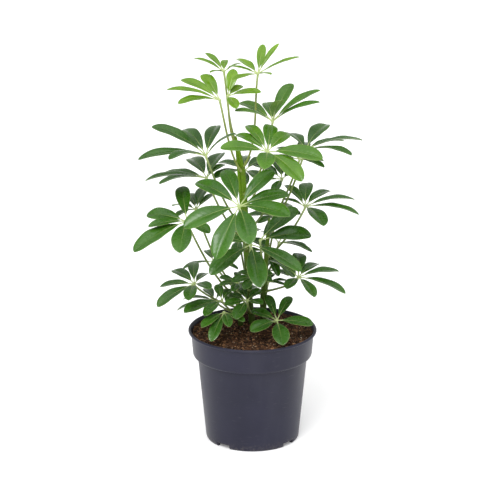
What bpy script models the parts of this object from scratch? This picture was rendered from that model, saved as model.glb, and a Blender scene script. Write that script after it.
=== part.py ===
"""Umbrella plant in its nursery pot: a thin plastic pot with a collar, potting soil,
three stems and the compound leaves, each with its leaflets spread like umbrella ribs.

Metres, +Z up. The origin is the middle of the pot's flat underside.
+Y points to the back of the plant and -Y to its front.
"""
import math
import random

import bmesh
import bpy
from mathutils import Vector

MM = 0.001
UP = Vector((0.0, 0.0, 1.0))

# ---------------------------------------------------------------- driving dimensions
POT_HEIGHT = 151 * MM
LIP_RADIUS = 85 * MM
COLLAR_TOP_RADIUS = 81.2 * MM
COLLAR_FOOT_RADIUS = 78.8 * MM
COLLAR_FOOT_HEIGHT = 118 * MM
LEDGE_RADIUS = 77.6 * MM
LEDGE_HEIGHT = 116 * MM
BODY_TOP_RADIUS = 72.6 * MM
BODY_TOP_HEIGHT = 114.8 * MM
BODY_FOOT_RADIUS = 61.8 * MM
FOOT_RADIUS = 60.4 * MM
CORNER_HEIGHT = 2.5 * MM
FOOT_WIDTH = 4.5 * MM
CHANNEL_INNER_RADIUS = 46 * MM
CHANNEL_HEIGHT = 3.8 * MM
LIP_DEPTH = 3.6 * MM
LIP_WIDTH = 3 * MM
WALL = 1.6 * MM
FLOOR = 2.4 * MM
POT_SIDES = 36

DRAINS = 4
DRAIN_TURN = math.radians(51)
NOTCH_WIDTH = 20 * MM
NOTCH_HEIGHT = 4.3 * MM
HOLE_WIDTH = 12 * MM
HOLE_LENGTH = 5 * MM

SOIL_EDGE_HEIGHT = 146.5 * MM
SOIL_EDGE_DROP = 2 * MM
SOIL_CROWN = 3.5 * MM
SOIL_SWELL = 0.8 * MM
SOIL_ROUGHNESS = 1.1 * MM
SOIL_RINGS = 5
SOIL_SEED = 11
STEM_CLUMP_Y = 20 * MM

GAP = 0.3 * MM
ROOT_DEPTH = 36 * MM
STEM_SIDES = 9
STEM_STEPS = 2

PETIOLE_SIDES = 5
PETIOLE_STEPS = 4
PETIOLE_RADIUS = 1.3 * MM
PETIOLE_FOOT_RADIUS = 1.9 * MM
PETIOLE_FOOT_GAP = 0.6 * MM
PETIOLE_SPREAD = 0.45
PETIOLE_UPTURN = 0.5
HUB_RADIUS = 2.9 * MM
HUB_LENGTH = 4 * MM

BLADE_THICKNESS = 0.7 * MM
BLADE_STATIONS = (0.36, 0.63, 0.87)
SHORT_BLADE = 51 * MM
SHORT_BLADE_STATIONS = (0.43, 0.78)
BLADE_FOLD = math.radians(13)
STALK_SHARE = 0.14
STALK_HALF_WIDTH = 0.95 * MM
STALK_THICKNESS = 1.5 * MM
STALK_ROOT = 1.7 * MM

# ---------------------------------------------------------------- stems
# Each stem: the points of its middle line in mm, from the soil up, and its radii in mm.
STEMS = {
    "stem_main": (
        ((0, 20, 155), (-4, 19, 184), (-7, 17, 240), (-9, 16, 293), (-11, 15, 334),
         (-13, 14, 365), (-18, 13, 391), (-22, 12, 412)),
        (4.4, 4.2, 4.0, 4.1, 4.0, 3.5, 2.6, 1.5),
    ),
    "stem_right": (
        ((14, 24, 155), (14, 22, 190), (17, 20, 220), (19, 16, 255), (21, 13, 285), (22, 13, 300)),
        (3.8, 3.6, 3.1, 2.8, 2.4, 1.5),
    ),
    "stem_left": (
        ((-15, 16, 155), (-19, 13, 180), (-24, 10, 206), (-25, 9, 214)),
        (3.0, 2.8, 2.3, 1.4),
    ),
}

# ---------------------------------------------------------------- leaves
# Each leaf: the stem it grows from and the height in mm where it leaves it; its hub in
# mm; how far its upright leans to the right and to the back for a rise of 1; its bend
# in degrees; its leaflets' width for a length of 1; and its leaflets, each as the
# direction and rise of its tip seen from the hub in degrees, its length in mm and, where
# it is narrower or wider than the others, its own width for a length of 1.
# Direction 0 is +X, 90 is +Y, the back.
LEAVES = {
    "leaf_01_crown_right": (
        "stem_main", 372, (7, 10, 497), (0.1, 0.0), 20, 0.29,
        ((79, 40, 46, 0.26), (34, 47, 48, 0.2), (357, 23, 58, 0.22), (300, 11, 34), (129, 14, 44, 0.42),
         (149, 5, 44, 0.24), (222, -1, 44))),
    "leaf_02_crown_back": (
        "stem_main", 404, (-37, 34, 493), (-0.1, 0.1), 30, 0.32,
        ((159, 18, 44), (129, 24, 42, 0.26), (88, 13, 32), (234, 10, 30), (26, 19, 26))),
    "leaf_03_crown_left": (
        "stem_main", 366, (-42, -20, 470), (-0.1, -0.12), 36, 0.34,
        ((187, 13, 70, 0.22), (148, 17, 62, 0.28), (209, 3, 60), (117, 24, 54, 0.32))),
    "leaf_04_crown_middle": (
        "stem_main", 399, (-32, 2, 469), (0.1, -0.3), 34, 0.40,
        ((69, 52, 38), (353, 9, 44, 0.3), (287, -10, 38), (50, 15, 30))),
    "leaf_05_upper_back": (
        "stem_main", 318, (26, 8, 433), (0.0, -0.2), 38, 0.34,
        ((62, 35, 66, 0.3), (6, 33, 74, 0.24), (345, 26, 70, 0.22), (285, 46, 54, 0.3), (131, 10, 66, 0.28),
         (215, 22, 64, 0.24), (98, 11, 55, 0.3))),
    "leaf_06_upper_front": (
        "stem_main", 334, (19, -75, 417), (0.1, -0.5), 38, 0.34,
        ((86, 15, 66, 0.3), (114, 16, 66, 0.26), (132, 10, 60, 0.28), (199, 10, 64, 0.32),
         (266, -4, 60, 0.4), (309, -18, 72, 0.36), (340, -1, 74, 0.36), (60, 12, 54))),
    "leaf_07_upper_left": (
        "stem_main", 288, (-60, -10, 392), (-0.1, -0.12), 42, 0.27,
        ((160, 23, 82), (191, 0, 89), (232, 10, 76), (113, 12, 76), (79, 16, 74),
         (331, 39, 57, 0.28))),
    "leaf_08_upper_right": (
        "stem_right", 288, (69, 30, 388), (0.1, 0.1), 40, 0.33,
        ((65, 13, 72), (0, 10, 76), (325, 4, 72), (110, 4, 64), (28, 4, 58))),
    "leaf_09_right_behind": (
        "stem_right", 294, (62, 48, 370), (0.1, -0.2), 36, 0.36,
        ((328, -8, 38), (352, -2, 32), (80, 10, 50), (130, 5, 48), (190, 0, 42))),
    "leaf_10_left_behind": (
        "stem_main", 268, (-60, 15, 354), (-0.1, 0.05), 38, 0.32,
        ((108, 5, 72), (152, -4, 69), (182, -2, 80), (212, 3, 71), (72, 14, 66), (56, 9, 45))),
    "leaf_11_back_right": (
        "stem_main", 280, (39, 50, 342), (0.1, -0.1), 36, 0.36,
        ((98, 16, 50, 0.46), (138, 10, 52, 0.42), (60, -2, 44), (190, -8, 44), (250, -15, 36))),
    "leaf_12_front": (
        "stem_main", 258, (-17, -95, 351), (0.0, -0.5), 36, 0.35,
        ((38, 33, 67, 0.32), (106, 22, 74, 0.29), (137, 12, 77, 0.32), (200, -15, 77), (240, -43, 79),
         (281, -20, 78), (325, 1, 78), (12, 10, 66))),
    "leaf_13_far_left": (
        "stem_left", 194, (-85, -35, 311), (-0.1, -0.4), 36, 0.34,
        ((97, 23, 70, 0.29), (157, 2, 57, 0.4), (198, -2, 52, 0.3), (208, -21, 82),
         (263, -18, 68, 0.4), (307, -3, 50))),
    "leaf_14_far_right": (
        "stem_right", 246, (69, 25, 312), (0.0, 0.05), 38, 0.34,
        ((125, 22, 48), (154, 8, 34), (87, 15, 58), (52, 8, 56), (10, 5, 67), (350, -6, 72),
         (292, -7, 63, 0.38))),
    "leaf_15_right_middle": (
        "stem_right", 224, (10, -30, 284), (0.1, -0.5), 34, 0.34,
        ((18, 0, 70, 0.4), (36, 28, 68), (58, 14, 52))),
    "leaf_16_low_front": (
        "stem_main", 232, (-2, -60, 288), (0.0, -0.45), 36, 0.35,
        ((280, -28, 76), (222, -20, 74), (335, -20, 76, 0.29), (150, 0, 50), (100, 0, 26))),
    "leaf_17_low_left": (
        "stem_left", 176, (-76, -20, 220), (-0.1, -0.2), 34, 0.36,
        ((125, 6, 50), (92, 12, 56, 0.28), (68, 0, 46, 0.3), (165, -10, 48), (205, -24, 58),
         (262, -6, 50), (302, 8, 42))),
    "leaf_18_low_left_behind": (
        "stem_left", 204, (-52, 55, 226), (-0.1, 0.1), 34, 0.34,
        ((200, -8, 43), (106, 6, 36), (79, 7, 46), (35, -2, 42), (340, -12, 36))),
    "leaf_19_low_right": (
        "stem_right", 196, (60, -10, 226), (0.1, 0.0), 34, 0.36,
        ((88, 14, 58, 0.34), (58, 5, 50), (15, 3, 56), (345, -15, 66), (295, -14, 50, 0.34),
         (243, -10, 34, 0.5), (136, 12, 52, 0.4))),
    "leaf_20_base_left": (
        "stem_left", 166, (-40, -22, 198), (-0.1, -0.3), 30, 0.36,
        ((105, 30, 28, 0.44), (62, 18, 26, 0.4), (208, -8, 56, 0.42), (240, -10, 45))),
    "leaf_21_base_front_left": (
        "stem_left", 160, (-37, -35, 186), (0.0, -0.4), 30, 0.32,
        ((229, -11, 45), (247, -31, 50), (281, -12, 36, 0.38), (323, -9, 34))),
    "leaf_22_base_front": (
        "stem_main", 168, (-7, -20, 197), (0.0, -0.4), 28, 0.40,
        ((249, -15, 44), (211, 1, 34), (107, 16, 30), (55, 12, 32), (313, 6, 30, 0.46),
         (142, 2, 32))),
    "leaf_23_base_right": (
        "stem_right", 160, (32, -30, 173), (0.0, -0.4), 26, 0.44,
        ((106, 23, 50, 0.26), (66, 22, 49, 0.3), (344, -1, 49, 0.38), (279, -20, 50, 0.46),
         (222, -5, 46), (142, 6, 42, 0.4))),
    "leaf_24_base_back_left": (
        "stem_left", 164, (-50, 30, 180), (-0.1, 0.1), 30, 0.34,
        ((187, -14, 52), (160, -6, 46), (110, 5, 40), (60, 5, 40), (225, -10, 36))),
    "leaf_25_back_top": (
        "stem_main", 306, (-10, 62, 350), (0.0, -0.1), 38, 0.36,
        ((215, -2, 50), (135, 0, 50), (92, 5, 52), (55, 4, 50), (302, -4, 44, 0.46),
         (268, -14, 40))),
    "leaf_26_back_left": (
        "stem_left", 209, (-74, 30, 306), (-0.1, 0.1), 38, 0.30,
        ((78, 15, 54), (55, 10, 52), (102, 8, 50), (130, -8, 50), (236, 3, 44, 0.34))),
    "leaf_27_back_right": (
        "stem_right", 214, (35, 60, 250), (0.1, 0.0), 38, 0.34,
        ((316, 4, 52, 0.26), (332, -6, 50, 0.26), (117, 2, 48), (71, 2, 52))),
    "leaf_28_back_low": (
        "stem_main", 204, (-17, 70, 252), (0.0, -0.1), 34, 0.38,
        ((90, 5, 52), (52, 2, 46), (128, -2, 50), (212, -4, 44), (330, -4, 44), (262, -16, 42))),
    "leaf_29_base_back_right": (
        "stem_right", 184, (18, 74, 206), (0.1, 0.0), 32, 0.38,
        ((315, 4, 42, 0.44), (40, -2, 46), (90, 0, 46), (135, -6, 42), (235, 8, 36, 0.44))),
    "leaf_30_low_middle": (
        "stem_main", 200, (1, -12, 227), (0.0, -0.4), 30, 0.42,
        ((215, 0, 34), (246, -15, 30), (145, 6, 24), (325, 0, 30), (25, 3, 28))),
    "leaf_31_inner_left": (
        "stem_left", 182, (-20, -2, 216), (0.1, -0.4), 30, 0.40,
        ((35, 3, 26), (90, 12, 26), (155, 8, 26), (205, 0, 26), (258, -8, 27), (312, -6, 28))),
    "leaf_32_inner_right": (
        "stem_right", 176, (21, 40, 202), (0.1, -0.1), 30, 0.38,
        ((20, -4, 28), (80, 4, 30), (128, 4, 30), (345, -8, 26))),
    "leaf_33_base_back": (
        "stem_main", 170, (-16, 52, 181), (0.1, -0.1), 30, 0.42,
        ((90, 4, 40), (118, -6, 32), (55, -4, 40), (228, -4, 30), (5, -4, 34))),
    "leaf_34_back_middle": (
        "stem_right", 236, (31, 70, 284), (0.1, -0.2), 34, 0.36,
        ((115, 8, 46), (65, 4, 46), (334, 12, 37, 0.5), (225, -3, 34), (160, -6, 42))),
    "leaf_35_inner_back_right": (
        "stem_right", 205, (17, 46, 243), (0.1, -0.2), 30, 0.40,
        ((342, -38, 52, 0.46), (318, -52, 38), (105, 2, 40), (228, -10, 34), (170, -4, 34))),
}

# ---------------------------------------------------------------- colours
PLASTIC = ("dark_plastic", (0.028, 0.031, 0.042, 1.0), 0.45)
SOIL = ("potting_soil", (0.055, 0.026, 0.014, 1.0), 0.95)
BARK = ("green_stem", (0.115, 0.155, 0.025, 1.0), 0.55)
YOUNG_LEAF = ("young_leaf", (0.120, 0.300, 0.025, 1.0), 0.38)
GROWN_LEAF = ("grown_leaf", (0.045, 0.150, 0.030, 1.0), 0.35)
YOUNG_LEAVES_ABOVE = 400 * MM


# ---------------------------------------------------------------- scene helpers
def clear_scene():
    """Remove every object, so that the model starts from nothing."""
    for item in list(bpy.data.objects):
        bpy.data.objects.remove(item, do_unlink=True)


def material(finish):
    """A Principled material of the given name, colour and roughness."""
    name, colour, roughness = finish
    made = bpy.data.materials.get(name)
    if made is None:
        made = bpy.data.materials.new(name)
        made.use_nodes = True
        shader = made.node_tree.nodes["Principled BSDF"]
        shader.inputs["Base Color"].default_value = colour
        shader.inputs["Roughness"].default_value = roughness
        shader.inputs["Metallic"].default_value = 0.0
    return made


def make_object(name, bm, finish, place=Vector(), into=None):
    """Turn a bmesh into an object at a place, with its faces pointing out."""
    bmesh.ops.recalc_face_normals(bm, faces=bm.faces)
    mesh = bpy.data.meshes.new(name)
    bm.to_mesh(mesh)
    bm.free()
    mesh.materials.append(material(finish))
    item = bpy.data.objects.new(name, mesh)
    item.location = place
    (into or bpy.context.scene.collection).objects.link(item)
    return item


def boolean(target, tools, operation, solver="EXACT"):
    """Join or cut the target with every object of a collection, then remove those."""
    modifier = target.modifiers.new("join_or_cut", "BOOLEAN")
    modifier.operation = operation
    modifier.solver = solver
    modifier.operand_type = "COLLECTION"
    modifier.collection = tools
    depsgraph = bpy.context.evaluated_depsgraph_get()
    result = bpy.data.meshes.new_from_object(target.evaluated_get(depsgraph))
    target.modifiers.clear()
    target.data = result
    for tool in list(tools.objects):
        bpy.data.objects.remove(tool, do_unlink=True)
    bpy.data.collections.remove(tools)


def tool_collection(name):
    """A collection in the scene for the objects that a Boolean takes up."""
    tools = bpy.data.collections.new(name)
    bpy.context.scene.collection.children.link(tools)
    return tools


def shade(item, sharp_angle):
    """Smooth shading, broken where two faces meet at more than the given angle."""
    item.data.shade_smooth()
    item.data.set_sharp_from_angle(angle=math.radians(sharp_angle))


# ---------------------------------------------------------------- shape helpers
def turned(bm, profile, sides):
    """Turn a closed-off profile of (radius, height) round Z, with a flat at each end."""
    rings = []
    for radius, height in profile:
        ring = [
            bm.verts.new((radius * math.cos(turn), radius * math.sin(turn), height))
            for turn in (math.tau * side / sides for side in range(sides))
        ]
        rings.append(ring)
    for low, high in zip(rings, rings[1:]):
        bridge(bm, low, high)
    bm.faces.new(rings[0])
    bm.faces.new(rings[-1])


def bridge(bm, first, second):
    """Close the band between two rings of as many points."""
    count = len(first)
    for side in range(count):
        after = (side + 1) % count
        bm.faces.new((first[side], first[after], second[after], second[side]))


def tube(bm, path, radii, sides):
    """A capped tube along a path; its first ring starts towards +X where it can."""
    rings = []
    across = None
    for index, (point, radius) in enumerate(zip(path, radii)):
        before = path[max(index - 1, 0)]
        after = path[min(index + 1, len(path) - 1)]
        along = (after - before).normalized()
        start = across or (Vector((1, 0, 0)) if abs(along.x) < 0.9 else Vector((0, 1, 0)))
        across = (start - along * start.dot(along)).normalized()
        other = along.cross(across)
        turns = (math.tau * side / sides for side in range(sides))
        rings.append([
            bm.verts.new(point + (across * math.cos(turn) + other * math.sin(turn)) * radius)
            for turn in turns
        ])
    for low, high in zip(rings, rings[1:]):
        bridge(bm, low, high)
    bm.faces.new(rings[0])
    bm.faces.new(rings[-1])


def smooth_values(values, steps):
    """Values read from a Catmull-Rom curve through the given ones."""
    read = []
    last = len(values) - 1
    for index in range(last):
        p0, p1 = values[max(index - 1, 0)], values[index]
        p2, p3 = values[index + 1], values[min(index + 2, last)]
        for step in range(steps):
            t = step / steps
            read.append(0.5 * (
                2 * p1 + (p2 - p0) * t + (2 * p0 - 5 * p1 + 4 * p2 - p3) * t * t
                + (3 * p1 - p0 - 3 * p2 + p3) * t * t * t
            ))
    read.append(values[last])
    return read


def bezier(controls, t):
    """A point on the cubic curve with four control points."""
    p0, p1, p2, p3 = controls
    s = 1 - t
    return p0 * s**3 + p1 * 3 * s * s * t + p2 * 3 * s * t * t + p3 * t**3


# ---------------------------------------------------------------- pot
def pot_outer_profile():
    """The pot's outside: over the channel round its flat underside, then up to the lip's top."""
    return [
        (CHANNEL_INNER_RADIUS, 0.0),
        (CHANNEL_INNER_RADIUS + MM, CHANNEL_HEIGHT),
        (FOOT_RADIUS - FOOT_WIDTH, CHANNEL_HEIGHT),
        (FOOT_RADIUS - FOOT_WIDTH, 0.0),
        (FOOT_RADIUS, 0.0),
        (BODY_FOOT_RADIUS, CORNER_HEIGHT),
        (BODY_TOP_RADIUS, BODY_TOP_HEIGHT),
        (LEDGE_RADIUS, LEDGE_HEIGHT),
        (COLLAR_FOOT_RADIUS, COLLAR_FOOT_HEIGHT),
        (COLLAR_TOP_RADIUS, POT_HEIGHT - LIP_DEPTH),
        (LIP_RADIUS - 0.6 * MM, POT_HEIGHT - LIP_DEPTH + 0.5 * MM),
        (LIP_RADIUS, POT_HEIGHT - LIP_DEPTH * 0.5),
        (LIP_RADIUS - 0.9 * MM, POT_HEIGHT),
    ]


def pot_inner_profile():
    """The pot's inside, from the lip's top down over the channel to the floor's rim."""
    return [
        (LIP_RADIUS - LIP_WIDTH, POT_HEIGHT),
        (COLLAR_TOP_RADIUS - WALL, POT_HEIGHT - LIP_DEPTH - WALL),
        (COLLAR_FOOT_RADIUS - WALL, COLLAR_FOOT_HEIGHT + 0.5 * MM),
        (LEDGE_RADIUS - WALL, LEDGE_HEIGHT + 1.2 * MM),
        (BODY_TOP_RADIUS - WALL, BODY_TOP_HEIGHT + 1.5 * MM),
        (BODY_FOOT_RADIUS - WALL, CHANNEL_HEIGHT + FLOOR),
        (CHANNEL_INNER_RADIUS - 1.5 * MM, CHANNEL_HEIGHT + FLOOR),
        (CHANNEL_INNER_RADIUS - 2.5 * MM, FLOOR),
    ]


def drain_cutter(turn, inner, outer, width, height, into):
    """A block for cutting from one radius to another in a direction, up to a height."""
    bm = bmesh.new()
    bmesh.ops.create_cube(bm, size=1.0)
    bmesh.ops.scale(bm, vec=(outer - inner, width, 2 * height), verts=bm.verts)
    middle = Vector((math.cos(turn), math.sin(turn), 0)) * (inner + outer) / 2
    block = make_object("drain_cutter", bm, PLASTIC, middle, into)
    block.rotation_euler.z = turn


def build_pot():
    """The thin pot: notches through its foot ring, and a drain hole behind each of them."""
    bm = bmesh.new()
    turned(bm, pot_outer_profile() + pot_inner_profile(), POT_SIDES)
    pot = make_object("pot", bm, PLASTIC)
    foot_inside = FOOT_RADIUS - FOOT_WIDTH
    hole_outside = foot_inside - 2 * MM
    drains = tool_collection("drains")
    for index in range(DRAINS):
        turn = DRAIN_TURN + math.tau * index / DRAINS
        drain_cutter(turn, foot_inside - MM, BODY_FOOT_RADIUS + MM, NOTCH_WIDTH, NOTCH_HEIGHT, drains)
        drain_cutter(turn, hole_outside - HOLE_LENGTH, hole_outside, HOLE_WIDTH,
                     CHANNEL_HEIGHT + FLOOR + MM, drains)
    boolean(pot, drains, "DIFFERENCE")
    shade(pot, 30)


# ---------------------------------------------------------------- soil
def soil_height(x, y, rng):
    """The soil's surface: low at the pot's wall, raised by a crown round the stems."""
    reach = math.hypot(x, y - STEM_CLUMP_Y) / COLLAR_FOOT_RADIUS
    crown = SOIL_CROWN * math.exp(-3 * reach * reach)
    swell = SOIL_SWELL * math.sin(61 * x + 1.3) * math.sin(73 * y + 0.4)
    return SOIL_EDGE_HEIGHT + crown + swell + rng.uniform(-1, 1) * SOIL_ROUGHNESS


def wall_radius_at(height):
    """The radius of the pot's inside at a height above its body's top."""
    inner = pot_inner_profile()
    for (top_r, top_z), (low_r, low_z) in zip(inner, inner[1:]):
        if low_z <= height <= top_z:
            return low_r + (top_r - low_r) * (height - low_z) / (top_z - low_z)
    return inner[0][0]


def build_soil():
    """Soil that fills the pot, with a lumpy top and a plain hole for each stem."""
    rng = random.Random(SOIL_SEED)
    edge_height = SOIL_EDGE_HEIGHT - SOIL_EDGE_DROP
    buried = [(r - GAP, z + GAP) for r, z in reversed(pot_inner_profile()) if z < edge_height]
    edge_radius = wall_radius_at(edge_height) - GAP
    bm = bmesh.new()
    rings = []
    for radius, height in buried + [(edge_radius, edge_height)]:
        rings.append([
            bm.verts.new((radius * math.cos(turn), radius * math.sin(turn), height))
            for turn in (math.tau * side / POT_SIDES for side in range(POT_SIDES))
        ])
    for step in range(1, SOIL_RINGS):
        radius = edge_radius * (1 - step / SOIL_RINGS) ** 0.8
        ring = []
        for side in range(POT_SIDES):
            turn = math.tau * side / POT_SIDES
            x, y = radius * math.cos(turn), radius * math.sin(turn)
            ring.append(bm.verts.new((x, y, soil_height(x, y, rng))))
        rings.append(ring)
    for low, high in zip(rings, rings[1:]):
        bridge(bm, low, high)
    bm.faces.new(rings[0])
    middle = bm.verts.new((0, 0, soil_height(0, 0, rng)))
    for side in range(POT_SIDES):
        bm.faces.new((rings[-1][side], rings[-1][(side + 1) % POT_SIDES], middle))
    bmesh.ops.triangulate(bm, faces=[face for face in bm.faces if len(face.verts) == 4])
    soil = make_object("soil", bm, SOIL)

    holes = tool_collection("stem_holes")
    for points, radii in STEMS.values():
        foot = Vector(points[0]) * MM
        low = foot - UP * (ROOT_DEPTH + GAP)
        high = foot + UP * 10 * MM
        bm = bmesh.new()
        tube(bm, [low, high], [radii[0] * MM + GAP] * 2, STEM_SIDES)
        make_object("hole", bm, SOIL, into=holes)
    boolean(soil, holes, "DIFFERENCE")
    shade(soil, 50)


# ---------------------------------------------------------------- stems
def stem_path(name, steps=STEM_STEPS):
    """A stem's middle line and radii, in metres, from its root up."""
    points, radii = STEMS[name]
    path = smooth_values([Vector(point) * MM for point in points], steps)
    widths = smooth_values([radius * MM for radius in radii], steps)
    return [path[0] - UP * ROOT_DEPTH] + path, [widths[0]] + widths


def stem_at(name, height):
    """The middle and the radius of a stem at a height."""
    path, radii = stem_path(name)
    for low, high, wide, narrow in zip(path, path[1:], radii, radii[1:]):
        if low.z <= height <= high.z:
            share = (height - low.z) / (high.z - low.z)
            return low.lerp(high, share), wide + (narrow - wide) * share
    return path[-1], radii[-1]


def build_stems():
    """The stems, each rooted in its hole in the soil."""
    for name in STEMS:
        path, radii = stem_path(name)
        bm = bmesh.new()
        tube(bm, path, radii, STEM_SIDES)
        shade(make_object(name, bm, BARK), 50)


# ---------------------------------------------------------------- leaves
def heading(direction, rise):
    """The unit vector at a direction in the ground plane and a rise, in degrees."""
    turn, lift = math.radians(direction), math.radians(rise)
    flat = math.cos(lift)
    return Vector((flat * math.cos(turn), flat * math.sin(turn), math.sin(lift)))


def outline(share, width_share):
    """Half the blade's width for a length of 1, at a share of the way to its tip."""
    grow, close = 0.95, 0.6
    widest = grow / (grow + close)
    peak = widest**grow * (1 - widest) ** close
    return 0.5 * width_share * share**grow * (1 - share) ** close / peak


def leaflet_frame(chord, upright, length, bend, share):
    """Place, tangent and normal of a leaflet's rib, a circular arc over its chord."""
    lift = (upright - chord * upright.dot(chord)).normalized()
    half = math.radians(bend) / 2
    radius = length / (2 * math.sin(half))
    turn = half - 2 * half * share
    place = chord * (math.sin(half) - math.sin(turn)) + lift * (math.cos(turn) - math.cos(half))
    along = chord * math.cos(turn) + lift * math.sin(turn)
    normal = lift * math.cos(turn) - chord * math.sin(turn)
    return place * radius, along, normal


def add_face(bm, *corners):
    """Add a face through the corners that differ, if at least three do."""
    distinct = list(dict.fromkeys(corners))
    if len(distinct) > 2:
        bm.faces.new(distinct)


def stalk_ring(bm, frame):
    """A ring of four points, given as the left, middle and right of top and bottom."""
    middle, along, normal = frame
    side = along.cross(normal) * STALK_HALF_WIDTH
    half = normal * STALK_THICKNESS / 2
    left, right = bm.verts.new(middle - side), bm.verts.new(middle + side)
    return (left, bm.verts.new(middle + half), right), (left, bm.verts.new(middle - half), right)


def blade_ring(bm, frame, half_width):
    """A ring of six points, folded up from the rib: left, middle and right of each face."""
    middle, along, normal = frame
    lift = normal * half_width * math.sin(BLADE_FOLD)
    reach = along.cross(normal) * half_width * math.cos(BLADE_FOLD)
    half = normal * BLADE_THICKNESS / 2
    across = (middle - reach + lift, middle, middle + reach + lift)
    return [bm.verts.new(point + half) for point in across], [
        bm.verts.new(point - half) for point in across]


def leaflet(bm, chord, upright, length, bend, width_share):
    """One leaflet: a short stalk, then a thin blade that ends in a blunt point.

    Both faces of the blade are split into triangles alike. A short blade has one section less.
    """
    def frame(share):
        return leaflet_frame(chord, upright, length, bend, share)

    rings = [stalk_ring(bm, frame(STALK_ROOT / length)), stalk_ring(bm, frame(STALK_SHARE))]
    for share in BLADE_STATIONS if length > SHORT_BLADE else SHORT_BLADE_STATIONS:
        on_blade = (share - STALK_SHARE) / (1 - STALK_SHARE)
        rings.append(blade_ring(bm, frame(share), outline(on_blade, width_share) * length))
    middle, _, normal = frame(1.0)
    half = normal * BLADE_THICKNESS / 2
    rings.append(([bm.verts.new(middle + half)] * 3, [bm.verts.new(middle - half)] * 3))
    for (top, bottom), (next_top, next_bottom) in zip(rings, rings[1:]):
        for edge in (0, 2):
            for near, far in ((top, next_top), (bottom, next_bottom)):
                add_face(bm, near[edge], near[1], far[1])
                add_face(bm, near[edge], far[1], far[edge])
            add_face(bm, top[edge], bottom[edge], next_bottom[edge])
            add_face(bm, top[edge], next_bottom[edge], next_top[edge])
    top, bottom = rings[0]
    add_face(bm, top[0], top[1], top[2], bottom[1])


def petiole_path(stem, joins, hub, upright):
    """The leaf stalk's line from just off its stem, up and over to the hub."""
    middle, radius = stem_at(stem, joins)
    outward = Vector((hub.x - middle.x, hub.y - middle.y, 0.0)).normalized()
    foot = middle + outward * (radius + PETIOLE_FOOT_GAP)
    span = (hub - foot).length
    straight = (hub - foot).normalized()
    controls = (
        foot,
        foot + (straight + outward * PETIOLE_SPREAD).normalized() * span * 0.3,
        hub - (straight + upright * PETIOLE_UPTURN).normalized() * span * 0.35,
        hub - upright * HUB_LENGTH / 2,
    )
    path = [foot, foot + outward * 1.5 * MM]
    path += [bezier(controls, step / PETIOLE_STEPS) for step in range(1, PETIOLE_STEPS + 1)]
    return path


def petiole(bm, stem, joins, hub, upright):
    """The leaf stalk with a swollen foot, and the knob at its top that bears the blades."""
    path = petiole_path(stem, joins, hub, upright)
    radii = [PETIOLE_FOOT_RADIUS, PETIOLE_FOOT_RADIUS] + [PETIOLE_RADIUS] * PETIOLE_STEPS
    path += [hub - upright * HUB_LENGTH / 4, hub + upright * HUB_LENGTH / 4,
             hub + upright * HUB_LENGTH / 2]
    radii += [HUB_RADIUS, HUB_RADIUS, HUB_RADIUS / 2]
    tube(bm, [point - hub for point in path], radii, PETIOLE_SIDES)


def build_leaf(name, spec):
    """One compound leaf: stalk, knob and leaflets joined into a single body."""
    stem, joins, hub_mm, lean, bend, width_share, blades = spec
    hub = Vector(hub_mm) * MM
    upright = Vector((lean[0], lean[1], 1.0)).normalized()
    finish = YOUNG_LEAF if hub.z > YOUNG_LEAVES_ABOVE else GROWN_LEAF
    bm = bmesh.new()
    petiole(bm, stem, joins * MM, hub, upright)
    leaf = make_object(name, bm, finish, hub)
    leaflets = tool_collection("leaflets")
    for direction, rise, length, *own_width in blades:
        bm = bmesh.new()
        width = own_width[0] if own_width else width_share
        leaflet(bm, heading(direction, rise), upright, length * MM, bend, width)
        make_object("leaflet", bm, finish, hub, leaflets)
    boolean(leaf, leaflets, "UNION", solver="MANIFOLD")
    shade(leaf, 35)


def build_plant():
    """The whole plant: the pot, its soil, the stems and every leaf."""
    clear_scene()
    build_pot()
    build_soil()
    build_stems()
    for name, spec in LEAVES.items():
        build_leaf(name, spec)


build_plant()
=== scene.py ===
"""The potted umbrella plant dressed for its picture: leaves with veins, margins and gloss,
bark, moulded pot plastic and loose potting soil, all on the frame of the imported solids.

Metres, +Z up, the front at -Y. The stem and leaf tables repeat the construction's own.
"""
import math
import random
from functools import partial

import bpy
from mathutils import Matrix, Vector, noise


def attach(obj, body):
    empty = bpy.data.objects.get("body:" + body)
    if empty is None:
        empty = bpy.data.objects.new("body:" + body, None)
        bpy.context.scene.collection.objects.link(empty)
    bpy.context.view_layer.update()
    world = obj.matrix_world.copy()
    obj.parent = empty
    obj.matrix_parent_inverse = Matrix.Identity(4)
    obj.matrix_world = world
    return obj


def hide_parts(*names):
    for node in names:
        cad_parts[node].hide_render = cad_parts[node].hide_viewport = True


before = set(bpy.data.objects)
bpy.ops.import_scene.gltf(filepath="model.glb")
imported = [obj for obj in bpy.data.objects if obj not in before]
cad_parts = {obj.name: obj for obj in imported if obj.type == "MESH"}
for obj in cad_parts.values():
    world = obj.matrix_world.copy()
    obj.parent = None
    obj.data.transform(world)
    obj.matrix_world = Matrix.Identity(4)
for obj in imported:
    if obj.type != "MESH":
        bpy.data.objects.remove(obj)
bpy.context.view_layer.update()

MM = 0.001
UP = Vector((0.0, 0.0, 1.0))

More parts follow.
